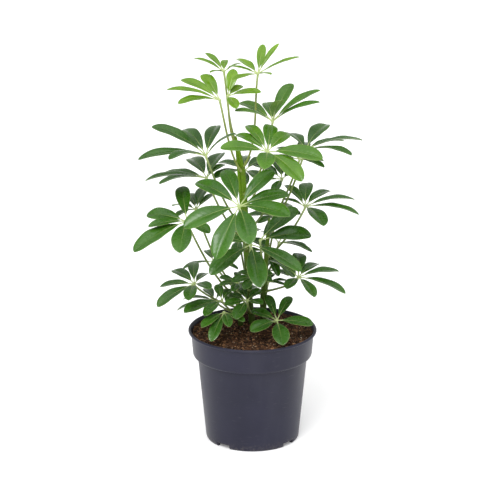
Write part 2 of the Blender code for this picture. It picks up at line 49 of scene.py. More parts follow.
# ---------------------------------------- driving dimensions, as in the construction
POT_HEIGHT = 151 * MM
LIP_RADIUS = 85 * MM
COLLAR_TOP_RADIUS = 81.2 * MM
COLLAR_FOOT_RADIUS = 78.8 * MM
COLLAR_FOOT_HEIGHT = 118 * MM
LEDGE_RADIUS = 77.6 * MM
LEDGE_HEIGHT = 116 * MM
BODY_TOP_RADIUS = 72.6 * MM
BODY_TOP_HEIGHT = 114.8 * MM
BODY_FOOT_RADIUS = 61.8 * MM
FOOT_RADIUS = 60.4 * MM
CORNER_HEIGHT = 2.5 * MM
FOOT_WIDTH = 4.5 * MM
CHANNEL_INNER_RADIUS = 46 * MM
CHANNEL_HEIGHT = 3.8 * MM
LIP_DEPTH = 3.6 * MM
LIP_WIDTH = 3 * MM
WALL = 1.6 * MM
FLOOR = 2.4 * MM

DRAINS = 4
DRAIN_TURN = math.radians(51)
NOTCH_WIDTH = 20 * MM
NOTCH_HEIGHT = 5.6 * MM  # a little more than the construction's, to be seen from afar
HOLE_WIDTH = 12 * MM
HOLE_LENGTH = 5 * MM

SOIL_EDGE_HEIGHT = 146.5 * MM
SOIL_EDGE_DROP = 2 * MM
SOIL_CROWN = 3.5 * MM
SOIL_SWELL = 0.8 * MM
STEM_CLUMP_Y = 20 * MM

# ---------------------------------------- stem table
# Each stem: the points of its middle line in mm, from the soil up, and its radii in mm.
STEMS = {
    "stem_main": (
        ((0, 20, 155), (-4, 19, 184), (-7, 17, 240), (-9, 16, 293), (-11, 15, 334),
         (-13, 14, 365), (-18, 13, 391), (-22, 12, 412)),
        (4.4, 4.2, 4.0, 4.1, 4.0, 3.5, 2.6, 1.5),
    ),
    "stem_right": (
        ((14, 24, 155), (14, 22, 190), (17, 20, 220), (19, 16, 255), (21, 13, 285), (22, 13, 300)),
        (3.8, 3.6, 3.1, 2.8, 2.4, 1.5),
    ),
    "stem_left": (
        ((-15, 16, 155), (-19, 13, 180), (-24, 10, 206), (-25, 9, 214)),
        (3.0, 2.8, 2.3, 1.4),
    ),
}

# ---------------------------------------- leaf table
# Each leaf: the stem it grows from and the height in mm where it leaves it; its hub in
# mm; how far its upright leans to the right and to the back for a rise of 1; its bend
# in degrees; its leaflets' width for a length of 1; and its leaflets, each as the
# direction and rise of its tip seen from the hub in degrees, its length in mm and, where
# it is narrower or wider than the others, its own width for a length of 1.
# Direction 0 is +X, 90 is +Y, the back.
LEAVES = {
    "leaf_01_crown_right": (
        "stem_main", 372, (7, 10, 497), (0.1, 0.0), 20, 0.29,
        ((79, 40, 46, 0.26), (34, 47, 48, 0.2), (357, 23, 58, 0.22), (300, 11, 34), (129, 14, 44, 0.42),
         (149, 5, 44, 0.24), (222, -1, 44))),
    "leaf_02_crown_back": (
        "stem_main", 404, (-37, 34, 493), (-0.1, 0.1), 30, 0.32,
        ((159, 18, 44), (129, 24, 42, 0.26), (88, 13, 32), (234, 10, 30), (26, 19, 26))),
    "leaf_03_crown_left": (
        "stem_main", 366, (-42, -20, 470), (-0.1, -0.12), 36, 0.34,
        ((187, 13, 70, 0.22), (148, 17, 62, 0.28), (209, 3, 60), (117, 24, 54, 0.32))),
    "leaf_04_crown_middle": (
        "stem_main", 399, (-32, 2, 469), (0.1, -0.3), 34, 0.40,
        ((69, 52, 38), (353, 9, 44, 0.3), (287, -10, 38), (50, 15, 30))),
    "leaf_05_upper_back": (
        "stem_main", 318, (26, 8, 433), (0.0, -0.2), 38, 0.34,
        ((62, 35, 66, 0.3), (6, 33, 74, 0.24), (345, 26, 70, 0.22), (285, 46, 54, 0.3), (131, 10, 66, 0.28),
         (215, 22, 64, 0.24), (98, 11, 55, 0.3))),
    "leaf_06_upper_front": (
        "stem_main", 334, (19, -75, 417), (0.1, -0.5), 38, 0.34,
        ((86, 15, 66, 0.3), (114, 16, 66, 0.26), (132, 10, 60, 0.28), (199, 10, 64, 0.32),
         (266, -4, 60, 0.4), (309, -18, 72, 0.36), (340, -1, 74, 0.36), (60, 12, 54))),
    "leaf_07_upper_left": (
        "stem_main", 288, (-60, -10, 392), (-0.1, -0.12), 42, 0.27,
        ((160, 23, 82), (191, 0, 89), (232, 10, 76), (113, 12, 76), (79, 16, 74),
         (331, 39, 57, 0.28))),
    "leaf_08_upper_right": (
        "stem_right", 288, (69, 30, 388), (0.1, 0.1), 40, 0.33,
        ((65, 13, 72), (0, 10, 76), (325, 4, 72), (110, 4, 64), (28, 4, 58))),
    "leaf_09_right_behind": (
        "stem_right", 294, (62, 48, 370), (0.1, -0.2), 36, 0.36,
        ((328, -8, 38), (352, -2, 32), (80, 10, 50), (130, 5, 48), (190, 0, 42))),
    "leaf_10_left_behind": (
        "stem_main", 268, (-60, 15, 354), (-0.1, 0.05), 38, 0.32,
        ((108, 5, 72), (152, -4, 69), (182, -2, 80), (212, 3, 71), (72, 14, 66), (56, 9, 45))),
    "leaf_11_back_right": (
        "stem_main", 280, (39, 50, 342), (0.1, -0.1), 36, 0.36,
        ((98, 16, 50, 0.46), (138, 10, 52, 0.42), (60, -2, 44), (190, -8, 44), (250, -15, 36))),
    "leaf_12_front": (
        "stem_main", 258, (-17, -95, 351), (0.0, -0.5), 36, 0.35,
        ((38, 33, 67, 0.32), (106, 22, 74, 0.29), (137, 12, 77, 0.32), (200, -15, 77), (240, -43, 79),
         (281, -20, 78), (325, 1, 78), (12, 10, 66))),
    "leaf_13_far_left": (
        "stem_left", 194, (-85, -35, 311), (-0.1, -0.4), 36, 0.34,
        ((97, 23, 70, 0.29), (157, 2, 57, 0.4), (198, -2, 52, 0.3), (208, -21, 82),
         (263, -18, 68, 0.4), (307, -3, 50))),
    "leaf_14_far_right": (
        "stem_right", 246, (69, 25, 312), (0.0, 0.05), 38, 0.34,
        ((125, 22, 48), (154, 8, 34), (87, 15, 58), (52, 8, 56), (10, 5, 67), (350, -6, 72),
         (292, -7, 63, 0.38))),
    "leaf_15_right_middle": (
        "stem_right", 224, (10, -30, 284), (0.1, -0.5), 34, 0.34,
        ((18, 0, 70, 0.4), (36, 28, 68), (58, 14, 52))),
    "leaf_16_low_front": (
        "stem_main", 232, (-2, -60, 288), (0.0, -0.45), 36, 0.35,
        ((280, -28, 76), (222, -20, 74), (335, -20, 76, 0.29), (150, 0, 50), (100, 0, 26))),
    "leaf_17_low_left": (
        "stem_left", 176, (-76, -20, 220), (-0.1, -0.2), 34, 0.36,
        ((125, 6, 50), (92, 12, 56, 0.28), (68, 0, 46, 0.3), (165, -10, 48), (205, -24, 58),
         (262, -6, 50), (302, 8, 42))),
    "leaf_18_low_left_behind": (
        "stem_left", 204, (-52, 55, 226), (-0.1, 0.1), 34, 0.34,
        ((200, -8, 43), (106, 6, 36), (79, 7, 46), (35, -2, 42), (340, -12, 36))),
    "leaf_19_low_right": (
        "stem_right", 196, (60, -10, 226), (0.1, 0.0), 34, 0.36,
        ((88, 14, 58, 0.34), (58, 5, 50), (15, 3, 56), (345, -15, 66), (295, -14, 50, 0.34),
         (243, -10, 34, 0.5), (136, 12, 52, 0.4))),
    "leaf_20_base_left": (
        "stem_left", 166, (-40, -22, 198), (-0.1, -0.3), 30, 0.36,
        ((105, 30, 28, 0.44), (62, 18, 26, 0.4), (208, -8, 56, 0.42), (240, -10, 45))),
    "leaf_21_base_front_left": (
        "stem_left", 160, (-37, -35, 186), (0.0, -0.4), 30, 0.32,
        ((229, -11, 45), (247, -31, 50), (281, -12, 36, 0.38), (323, -9, 34))),
    "leaf_22_base_front": (
        "stem_main", 168, (-7, -20, 197), (0.0, -0.4), 28, 0.40,
        ((249, -15, 44), (211, 1, 34), (107, 16, 30), (55, 12, 32), (313, 6, 30, 0.46),
         (142, 2, 32))),
    "leaf_23_base_right": (
        "stem_right", 160, (32, -30, 173), (0.0, -0.4), 26, 0.44,
        ((106, 23, 50, 0.26), (66, 22, 49, 0.3), (344, -1, 49, 0.38), (279, -20, 50, 0.46),
         (222, -5, 46), (142, 6, 42, 0.4))),
    "leaf_24_base_back_left": (
        "stem_left", 164, (-50, 30, 180), (-0.1, 0.1), 30, 0.34,
        ((187, -14, 52), (160, -6, 46), (110, 5, 40), (60, 5, 40), (225, -10, 36))),
    "leaf_25_back_top": (
        "stem_main", 306, (-10, 62, 350), (0.0, -0.1), 38, 0.36,
        ((215, -2, 50), (135, 0, 50), (92, 5, 52), (55, 4, 50), (302, -4, 44, 0.46),
         (268, -14, 40))),
    "leaf_26_back_left": (
        "stem_left", 209, (-74, 30, 306), (-0.1, 0.1), 38, 0.30,
        ((78, 15, 54), (55, 10, 52), (102, 8, 50), (130, -8, 50), (236, 3, 44, 0.34))),
    "leaf_27_back_right": (
        "stem_right", 214, (35, 60, 250), (0.1, 0.0), 38, 0.34,
        ((316, 4, 52, 0.26), (332, -6, 50, 0.26), (117, 2, 48), (71, 2, 52))),
    "leaf_28_back_low": (
        "stem_main", 204, (-17, 70, 252), (0.0, -0.1), 34, 0.38,
        ((90, 5, 52), (52, 2, 46), (128, -2, 50), (212, -4, 44), (330, -4, 44), (262, -16, 42))),
    "leaf_29_base_back_right": (
        "stem_right", 184, (18, 74, 206), (0.1, 0.0), 32, 0.38,
        ((315, 4, 42, 0.44), (40, -2, 46), (90, 0, 46), (135, -6, 42), (235, 8, 36, 0.44))),
    "leaf_30_low_middle": (
        "stem_main", 200, (1, -12, 227), (0.0, -0.4), 30, 0.42,
        ((215, 0, 34), (246, -15, 30), (145, 6, 24), (325, 0, 30), (25, 3, 28))),
    "leaf_31_inner_left": (
        "stem_left", 182, (-20, -2, 216), (0.1, -0.4), 30, 0.40,
        ((35, 3, 26), (90, 12, 26), (155, 8, 26), (205, 0, 26), (258, -8, 27), (312, -6, 28))),
    "leaf_32_inner_right": (
        "stem_right", 176, (21, 40, 202), (0.1, -0.1), 30, 0.38,
        ((20, -4, 28), (80, 4, 30), (128, 4, 30), (345, -8, 26))),
    "leaf_33_base_back": (
        "stem_main", 170, (-16, 52, 181), (0.1, -0.1), 30, 0.42,
        ((90, 4, 40), (118, -6, 32), (55, -4, 40), (228, -4, 30), (5, -4, 34))),
    "leaf_34_back_middle": (
        "stem_right", 236, (31, 70, 284), (0.1, -0.2), 34, 0.36,
        ((115, 8, 46), (65, 4, 46), (334, 12, 37, 0.5), (225, -3, 34), (160, -6, 42))),
    "leaf_35_inner_back_right": (
        "stem_right", 205, (17, 46, 243), (0.1, -0.2), 30, 0.40,
        ((342, -38, 52, 0.46), (318, -52, 38), (105, 2, 40), (228, -10, 34), (170, -4, 34))),
}
YOUNG_LEAVES_ABOVE = 400 * MM

# ---------------------------------------- sizes of the dressed pieces
PETIOLE_RADIUS = 1.35 * MM
PETIOLE_FOOT_RADIUS = 2.4 * MM
PETIOLE_SPREAD = 0.45
PETIOLE_UPTURN = 0.5
PETIOLE_SINK = 1.2 * MM
HUB_RADIUS = 2.0 * MM
HUB_LENGTH = 4 * MM
HUB_SIDES = 12
PETIOLE_ROWS = 26
PETIOLE_SIDES = 10

BLADE_THICKNESS = 0.55 * MM
BLADE_FOLD = math.radians(13)
BLADE_ROWS = 28
BLADE_COLUMNS = 14
BLADE_START = 0.012
BLADE_SPAN = 0.987
TIP_CROWDING = 1.7
FOLD_EASING = 0.55
EDGE_THINNING = 0.55
RIB_DEPTH = 0.45 * MM
RIB_HALF_WIDTH = 0.7 * MM
STALK_SHARE = 0.14
STALK_RADIUS = 0.85 * MM
STALK_SIDES = 8
TWIST = math.radians(7)
WAVE = 0.035
WAVE_LAG = 1.9
TIP_MARGIN = 0.965

STEM_SIDES = 24
STEM_STEPS = 8
STEM_ROW_LENGTH = 1.2 * MM
ROOT_DEPTH = 12 * MM
SCAR_SPACING = 13 * MM
BARK_ROUGHNESS = 0.12 * MM

# How young each leaf looks, from 0, dark and grown, to 1, a new yellow-green one.
FRESHNESS = {
    "leaf_01_crown_right": 0.95, "leaf_02_crown_back": 0.85, "leaf_03_crown_left": 0.95,
    "leaf_04_crown_middle": 1.0, "leaf_05_upper_back": 0.55, "leaf_06_upper_front": 0.60,
    "leaf_12_front": 0.30, "leaf_13_far_left": 0.26, "leaf_16_low_front": 0.22,
}
USUAL_FRESHNESS = 0.12


# ---------------------------------------- meshes
class Shell:
    """A mesh in the making: points with named values, and faces with a material slot."""

    def __init__(self, **usual_values):
        self.points = []
        self.usual_values = usual_values
        self.values = {name: [] for name in usual_values}
        self.faces = []
        self.slots = []

    def point(self, place, **values):
        """Add a point and return its number; a value that isn't given is the usual one."""
        self.points.append(place)
        for name, usual in self.usual_values.items():
            self.values[name].append(values.get(name, usual))
        return len(self.points) - 1

    def face(self, *corners, slot=0):
        self.faces.append(corners)
        self.slots.append(slot)

    def strip(self, first, second, slot=0):
        """Fill the band between two lines of as many points."""
        for corners in zip(first, first[1:], second[1:], second):
            self.face(*corners, slot=slot)

    def bridge(self, first, second, slot=0):
        """Fill the band between two closed rings of as many points."""
        self.strip([*first, first[0]], [*second, second[0]], slot)

    def skin(self, rings, slot=0):
        """Close the bands between the rings, and both ends."""
        for low, high in zip(rings, rings[1:]):
            self.bridge(low, high, slot)
        self.face(*reversed(rings[0]), slot=slot)
        self.face(*rings[-1], slot=slot)

    def tube(self, path, radii, sides, slot=0, **values):
        """A capped round tube. Each value is one number, or one for each point of the path."""
        across = None
        rings = []
        for index, (place, radius) in enumerate(zip(path, radii)):
            along = path[min(index + 1, len(path) - 1)] - path[max(index - 1, 0)]
            along.normalize()
            start = across or (Vector((1, 0, 0)) if abs(along.x) < 0.9 else Vector((0, 1, 0)))
            across = (start - along * start.dot(along)).normalized()
            other = along.cross(across)
            here = {
                name: value[index] if isinstance(value, (list, tuple)) else value
                for name, value in values.items()
            }
            rings.append([
                self.point(place + (across * math.cos(turn) + other * math.sin(turn)) * radius,
                           **here)
                for turn in (math.tau * side / sides for side in range(sides))
            ])
        self.skin(rings, slot)

    def piece(self, name, materials, sharp_angle=60):
        """Make the object, shade it smooth and keep the point values as attributes."""
        mesh = bpy.data.meshes.new(name)
        mesh.from_pydata(self.points, [], self.faces)
        for finish in materials:
            mesh.materials.append(finish)
        mesh.polygons.foreach_set("material_index", self.slots)
        for value_name, numbers in self.values.items():
            if isinstance(self.usual_values[value_name], float):
                layer = mesh.attributes.new(value_name, "FLOAT", "POINT")
                layer.data.foreach_set("value", numbers)
            else:
                layer = mesh.attributes.new(value_name, "FLOAT_VECTOR", "POINT")
                layer.data.foreach_set("vector", [part for vector in numbers for part in vector])
        mesh.update()
        mesh.shade_smooth()
        mesh.set_sharp_from_angle(angle=math.radians(sharp_angle))
        made = bpy.data.objects.new(name, mesh)
        bpy.context.scene.collection.objects.link(made)
        return made


def stand_for(piece, slot, *nodes):
    """The piece rides on the plant and takes the place of the named solids."""
    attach(piece, "root")
    if nodes:
        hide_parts(*nodes)


def smooth_step(low, high, value):
    """0 below low, 1 above high and a smooth rise between them."""
    share = min(max((value - low) / (high - low), 0.0), 1.0)
    return share * share * (3 - 2 * share)


def smooth_values(values, steps):
    """Values read from a Catmull-Rom curve through the given ones."""
    read = []
    last = len(values) - 1
    for index in range(last):
        p0, p1 = values[max(index - 1, 0)], values[index]
        p2, p3 = values[index + 1], values[min(index + 2, last)]
        for step in range(steps):
            t = step / steps
            read.append(0.5 * (
                2 * p1 + (p2 - p0) * t + (2 * p0 - 5 * p1 + 4 * p2 - p3) * t * t
                + (3 * p1 - p0 - 3 * p2 + p3) * t * t * t
            ))
    read.append(values[last])
    return read


def bezier(controls, t):
    """A point on the cubic curve with four control points."""
    p0, p1, p2, p3 = controls
    s = 1 - t
    return p0 * s**3 + p1 * 3 * s * s * t + p2 * 3 * s * t * t + p3 * t**3


# ---------------------------------------- materials
class Recipe:
    """A new material with one Principled shader, and short ways to feed it."""

    def __init__(self, name, roughness=0.5, specular=0.5):
        self.material = bpy.data.materials.new(name)
        self.material.use_nodes = True
        self.tree = self.material.node_tree
        self.shader = self.tree.nodes["Principled BSDF"]
        self.shader.inputs["Roughness"].default_value = roughness
        self.shader.inputs["Specular IOR Level"].default_value = specular

    def feed(self, socket, source):
        """Link a node's output to a socket, or set the socket to a plain value."""
        if isinstance(source, bpy.types.NodeSocket):
            self.tree.links.new(source, socket)
        else:
            socket.default_value = source

    def set(self, name, source):
        """Feed one of the shader's own sockets."""
        self.feed(self.shader.inputs[name], source)

    def add(self, kind, *sources, **settings):
        """Add a node with its settings, and feed its first sockets."""
        node = self.tree.nodes.new("ShaderNode" + kind)
        for name, setting in settings.items():
            setattr(node, name, setting)
        for socket, source in zip(node.inputs, sources):
            self.feed(socket, source)
        return node

    def value(self, name, output="Fac"):
        """A point value of the mesh: one number, or its "Vector"."""
        return self.add("Attribute", attribute_name=name).outputs[output]

    def place(self):
        """The place on the object."""
        return self.add("TexCoord").outputs["Object"]

    def parts(self, vector):
        """The three numbers of a vector."""
        return self.add("SeparateXYZ", vector).outputs

    def stretched(self, vector, factors):
        """A place with each of its numbers multiplied."""
        return self.add("VectorMath", vector, factors, operation="MULTIPLY").outputs["Vector"]

    def noise(self, vector, scale, detail=2.0, roughness=0.5):
        """Soft cloudy noise; the node's second socket, its fourth dimension, is idle."""
        return self.add("TexNoise", vector, 0.0, scale, detail, roughness).outputs["Fac"]

    def cells(self, vector, scale):
        """The distance to the nearest of many scattered points."""
        return self.add("TexVoronoi", vector, 0.0, scale).outputs["Distance"]

    def math(self, operation, first, second=0.0, third=0.0):
        """One sum of up to three numbers."""
        return self.add("Math", first, second, third, operation=operation).outputs[0]

    def span(self, value, low, high, out_low=0.0, out_high=1.0):
        """Map a number from one range to another, smoothly and held at the ends."""
        node = self.add("MapRange", value, low, high, out_low, out_high,
                        interpolation_type="SMOOTHSTEP")
        return node.outputs[0]

    def ramp(self, value, *stops):
        """A colour read from (place, colour) stops."""
        node = self.add("ValToRGB", value)
        marks = node.color_ramp.elements
        while len(marks) < len(stops):
            marks.new(0.5)
        for mark, (place, colour) in zip(marks, stops):
            mark.position = place
            mark.color = (*colour, 1.0)
        return node.outputs["Color"]

    def mix(self, share, first, second, blend="MIX"):
        """Mix two colours, each a socket or three numbers."""
        node = self.add("Mix", share, data_type="RGBA", blend_type=blend)
        for socket, source in ((node.inputs[6], first), (node.inputs[7], second)):
            self.feed(socket, source if isinstance(source, bpy.types.NodeSocket) else (*source, 1.0))
        return node.outputs[2]

    def bump(self, height, distance, strength=1.0):
        """Raise the surface by a height, in metres at full strength, and feed the shader."""
        node = self.add("Bump")
        self.feed(node.inputs["Height"], height)
        node.inputs["Distance"].default_value = distance
        node.inputs["Strength"].default_value = strength
        self.set("Normal", node.outputs["Normal"])


def leaf_face(name, colours, pale, roughness, rib_share, relief_depth):
    """One face of the leaflets: body colour by freshness, painted glow towards the tips, side veins, midrib
    and a pale margin, partly the leaf's own and partly painted highlight.

    The point value "blade" holds the distance along the leaflet and across it from the
    midrib, in cm, and the share of the way to the tip. A positive relief depth sinks the
    midrib and the veins, as on the upper face; a negative one raises them.
    """
    finish = Recipe(name, specular=0.50)
    along, across, to_tip = finish.parts(finish.value("blade", "Vector"))
    off_rib = finish.math("ABSOLUTE", across)
    whole = finish.place()

    body = finish.ramp(finish.value("fresh"), *zip((0.0, 0.5, 1.0), colours))
    patches = finish.noise(whole, 45, 3)
    darker = finish.mix(1.0, body, (0.72, 0.80, 0.72), "MULTIPLY")
    body = finish.mix(finish.span(patches, 0.35, 0.68), darker, body)
    # Painted glow: lighter and yellower towards the tip, as where light shines through the leaflet.
    painted_tip_glow = finish.mix(1.0, body, (1.22, 1.16, 0.90), "MULTIPLY")
    body = finish.mix(finish.span(to_tip, 0.35, 1.0), body, painted_tip_glow)

    forward = finish.math("MULTIPLY_ADD", off_rib, -0.85, along)
    from_vein = finish.math("PINGPONG", forward, 0.34)
    fading = finish.span(off_rib, 0.2, 1.1, 1.0, 0.2)
    vein = finish.math("MULTIPLY", finish.span(from_vein, 0.008, 0.045, 1.0, 0.0), fading)
    body = finish.mix(finish.math("MULTIPLY", vein, rib_share * 0.15), body, pale)

    rib_width = finish.span(to_tip, 0.0, 0.9, 0.055, 0.014)
    rib = finish.span(finish.math("DIVIDE", off_rib, rib_width), 0.5, 1.2, 1.0, 0.0)
    rib_strength = finish.span(to_tip, 0.1, 0.95, rib_share, rib_share * 0.15)
    body = finish.mix(finish.math("MULTIPLY", rib, rib_strength), body, pale)
    # A pale margin, partly the leaf's own colour and partly painted highlight where light catches the
    # edges.
    pale_margin_and_edge_highlight = finish.span(finish.value("pale_margin_and_edge_highlight"), 0.94, 0.99)
    body = finish.mix(finish.math("MULTIPLY", pale_margin_and_edge_highlight, 0.45), body, pale)
    finish.set("Base Color", body)

    gloss = finish.noise(whole, 90, 2)
    finish.set("Roughness", finish.span(gloss, 0.3, 0.7, roughness - 0.05, roughness + 0.07))
    quilt = finish.span(from_vein, 0.0, 0.34)
    grain = finish.cells(whole, 900)
    relief = finish.math("MULTIPLY_ADD", grain, 0.02, finish.math("MULTIPLY", quilt, 0.4))
    finish.bump(finish.math("MULTIPLY_ADD", rib, -1.0, relief), relief_depth, 0.6)
    return finish.material


def leaf_stalk():
    """Leaf stalks and leaflet stalks: olive, paler and yellower towards the leaflets."""
    finish = Recipe("leaf_stalk", specular=0.35)
    whole = finish.place()
    olive = finish.ramp(finish.value("fresh"), (0.0, (0.090, 0.150, 0.022)),
                        (0.5, (0.130, 0.200, 0.026)), (1.0, (0.210, 0.270, 0.040)))
    streaks = finish.noise(finish.stretched(whole, (1.0, 1.0, 0.12)), 900, 2)
    olive = finish.mix(finish.span(streaks, 0.35, 0.7, 0.0, 0.25), olive, (0.18, 0.16, 0.05))
    colour = finish.mix(finish.value("pale"), olive, (0.50, 0.60, 0.26))
    finish.set("Base Color", colour)
    finish.set("Roughness", finish.span(streaks, 0.3, 0.7, 0.34, 0.46))
    finish.bump(streaks, 0.12 * MM, 0.5)
    return finish.material


def stem_bark():
    """Stem bark: yellow-green above, olive below, with pale corky spots."""
    finish = Recipe("stem_bark", specular=0.2)
    whole = finish.place()
    height = finish.parts(whole)[2]
    blotches = finish.noise(finish.stretched(whole, (1.0, 1.0, 0.45)), 130, 4, 0.6)
    age = finish.math("MULTIPLY_ADD", blotches, -0.16, height)
    colour = finish.ramp(finish.span(age, 0.05, 0.34), (0.0, (0.034, 0.063, 0.005)),
                         (0.35, (0.058, 0.122, 0.003)), (1.0, (0.115, 0.230, 0.002)))
    corky = finish.span(finish.cells(finish.stretched(whole, (1.0, 1.0, 0.5)), 420), 0.0, 0.22, 1.0, 0.0)
    colour = finish.mix(finish.math("MULTIPLY", corky, 0.15), colour, (0.26, 0.25, 0.08))
    colour = finish.mix(finish.math("MULTIPLY", finish.value("scar"), 0.5), colour, (0.080, 0.062, 0.022))
    finish.set("Base Color", colour)
    finish.set("Roughness", finish.span(blotches, 0.3, 0.7, 0.42, 0.62))
    finish.bump(finish.math("ADD", blotches, corky), 0.35 * MM, 0.7)
    return finish.material


def pot_plastic():
    """Dark bluish-grey injection-moulded plastic, satin, a little dusty and scuffed."""
    finish = Recipe("pot_plastic", specular=0.25)
    whole = finish.place()
    height = finish.parts(whole)[2]
    flow = finish.noise(finish.stretched(whole, (1.0, 1.0, 0.08)), 40, 3)
    clouds = finish.noise(whole, 14, 3)
    colour = finish.mix(finish.span(clouds, 0.3, 0.7), (0.015, 0.015, 0.030), (0.020, 0.020, 0.039))
    colour = finish.mix(finish.span(flow, 0.45, 0.75, 0.0, 0.25), colour, (0.040, 0.040, 0.058))
    dust = finish.math("MULTIPLY", finish.noise(whole, 260, 4, 0.7), finish.span(height, 0.03, 0.0))
    colour = finish.mix(finish.span(dust, 0.35, 0.8, 0.0, 0.4), colour, (0.16, 0.14, 0.12))
    scratches = finish.noise(finish.stretched(whole, (1.0, 1.0, 9.0)), 90, 2, 0.4)
    scuffed = finish.span(scratches, 0.66, 0.74, 0.0, 0.22)
    colour = finish.mix(scuffed, colour, (0.075, 0.075, 0.090))
    finish.set("Base Color", colour)
    finish.set("Roughness", finish.span(clouds, 0.3, 0.7, 0.36, 0.46))
    finish.bump(finish.noise(whole, 1600, 2), 0.05 * MM, 0.6)
    return finish.material


def soil_finish(name, dark, light, lightest):
    """Crumbly material: a tone for each piece, broken up by fine grain."""
    finish = Recipe(name, roughness=0.92, specular=0.25)
    whole = finish.place()
    coarse = finish.noise(whole, 210, 5, 0.65)
    fine = finish.noise(whole, 1300, 3, 0.7)
    colour = finish.ramp(finish.value("tone"), (0.0, dark), (0.6, light), (1.0, lightest))
    shadowed = finish.mix(1.0, colour, (0.40, 0.36, 0.33), "MULTIPLY")
    colour = finish.mix(finish.span(coarse, 0.38, 0.62), shadowed, colour)
    colour = finish.mix(finish.span(fine, 0.52, 0.72, 0.0, 0.45), colour, lightest)
    finish.set("Base Color", colour)
    finish.bump(finish.math("MULTIPLY_ADD", fine, 0.5, coarse), 0.9 * MM, 0.9)
    return finish.material


def white_floor():
    """A plain white studio floor, faintly lit from below as a light table is."""
    finish = Recipe("studio_floor", roughness=0.85, specular=0.2)
    finish.set("Base Color", (0.95, 0.95, 0.955, 1.0))
    finish.set("Emission Color", (1.0, 1.0, 1.0, 1.0))
    finish.set("Emission Strength", 0.18)
    return finish.material


# ---------------------------------------- pot
POT_SIDES = 144
POT_CURVE_STEPS = 5
FOOT_BAND = 5 * MM


def pot_profile():
    """The pot's outline as (radius, height, rounding) corners: up its outside, down its inside."""
    taper = (BODY_TOP_RADIUS - BODY_FOOT_RADIUS) / (BODY_TOP_HEIGHT - CORNER_HEIGHT)
    return [
        (CHANNEL_INNER_RADIUS, 0.0, 0.0),
        (CHANNEL_INNER_RADIUS + MM, CHANNEL_HEIGHT, 0.8 * MM),
        (FOOT_RADIUS - FOOT_WIDTH, CHANNEL_HEIGHT, 0.8 * MM),
        (FOOT_RADIUS - FOOT_WIDTH, 0.0, 0.5 * MM),
        (FOOT_RADIUS, 0.0, 0.3 * MM),
        (BODY_FOOT_RADIUS, CORNER_HEIGHT, 1.5 * MM),
        (BODY_FOOT_RADIUS + FOOT_BAND * taper, CORNER_HEIGHT + FOOT_BAND, 0.0),
        (BODY_TOP_RADIUS, BODY_TOP_HEIGHT, 1.2 * MM),
        (LEDGE_RADIUS, LEDGE_HEIGHT, 0.6 * MM),
        (COLLAR_FOOT_RADIUS, COLLAR_FOOT_HEIGHT, 1.2 * MM),
        (COLLAR_TOP_RADIUS, POT_HEIGHT - LIP_DEPTH, 0.5 * MM),
        (LIP_RADIUS - 0.6 * MM, POT_HEIGHT - LIP_DEPTH + 0.5 * MM, 0.4 * MM),
        (LIP_RADIUS, POT_HEIGHT - LIP_DEPTH * 0.5, 0.7 * MM),
        (LIP_RADIUS - 0.9 * MM, POT_HEIGHT, 0.8 * MM),
        (LIP_RADIUS - LIP_WIDTH, POT_HEIGHT, 0.7 * MM),
        (COLLAR_TOP_RADIUS - WALL, POT_HEIGHT - LIP_DEPTH - WALL, 0.8 * MM),
        (COLLAR_FOOT_RADIUS - WALL, COLLAR_FOOT_HEIGHT + 0.5 * MM, 1.5 * MM),
        (LEDGE_RADIUS - WALL, LEDGE_HEIGHT + 1.2 * MM, 1.0 * MM),
        (BODY_TOP_RADIUS - WALL, BODY_TOP_HEIGHT + 1.5 * MM, 1.2 * MM),
        (BODY_FOOT_RADIUS - WALL, CHANNEL_HEIGHT + FLOOR, 0.8 * MM),
        (CHANNEL_INNER_RADIUS - 1.5 * MM, CHANNEL_HEIGHT + FLOOR, 0.5 * MM),
        (CHANNEL_INNER_RADIUS - 2.5 * MM, FLOOR, 0.0),
    ]


def rounded(corners):
    """The outline with each corner replaced by a short curve of its rounding's length."""
    points = []
    for index, (radius, height, rounding) in enumerate(corners):
        corner = Vector((radius, height))
        if rounding == 0.0 or index in (0, len(corners) - 1):
            points.append(corner)
            continue
        before = Vector(corners[index - 1][:2]) - corner
        after = Vector(corners[index + 1][:2]) - corner
        start = corner + before.normalized() * min(rounding, before.length * 0.45)
        end = corner + after.normalized() * min(rounding, after.length * 0.45)
        for step in range(POT_CURVE_STEPS + 1):
            t = step / POT_CURVE_STEPS
            points.append(start * (1 - t) ** 2 + corner * 2 * t * (1 - t) + end * t * t)
    return points


def ring_of(shell, radius, height, sides, **values):
    """A level ring of points round the pot's axis."""
    return [
        shell.point(Vector((radius * math.cos(turn), radius * math.sin(turn), height)), **values)
        for turn in (math.tau * side / sides for side in range(sides))
    ]


def build_pot(plastic):
    """The pot as one thin turned shell, with its notches and drain holes cut out."""
    shell = Shell()
    rings = [ring_of(shell, radius, height, POT_SIDES) for radius, height in rounded(pot_profile())]
    shell.skin(rings)
    pot = shell.piece("pot_moulded", [plastic], sharp_angle=32)
    cut_drains(pot)
    stand_for(pot, "dark_plastic", "pot")


def drain_block(cutter, turn, inner, outer, width, height):
    """A block for cutting from one radius to another in a direction, up to a height."""
    out = Vector((math.cos(turn), math.sin(turn), 0.0))
    side = Vector((-out.y, out.x, 0.0)) * width / 2
    corners = [
        [cutter.point(out * reach + side * hand + UP * level)
         for reach, hand in ((inner, -1), (outer, -1), (outer, 1), (inner, 1))]
        for level in (-height, height)
    ]
    cutter.skin(corners)


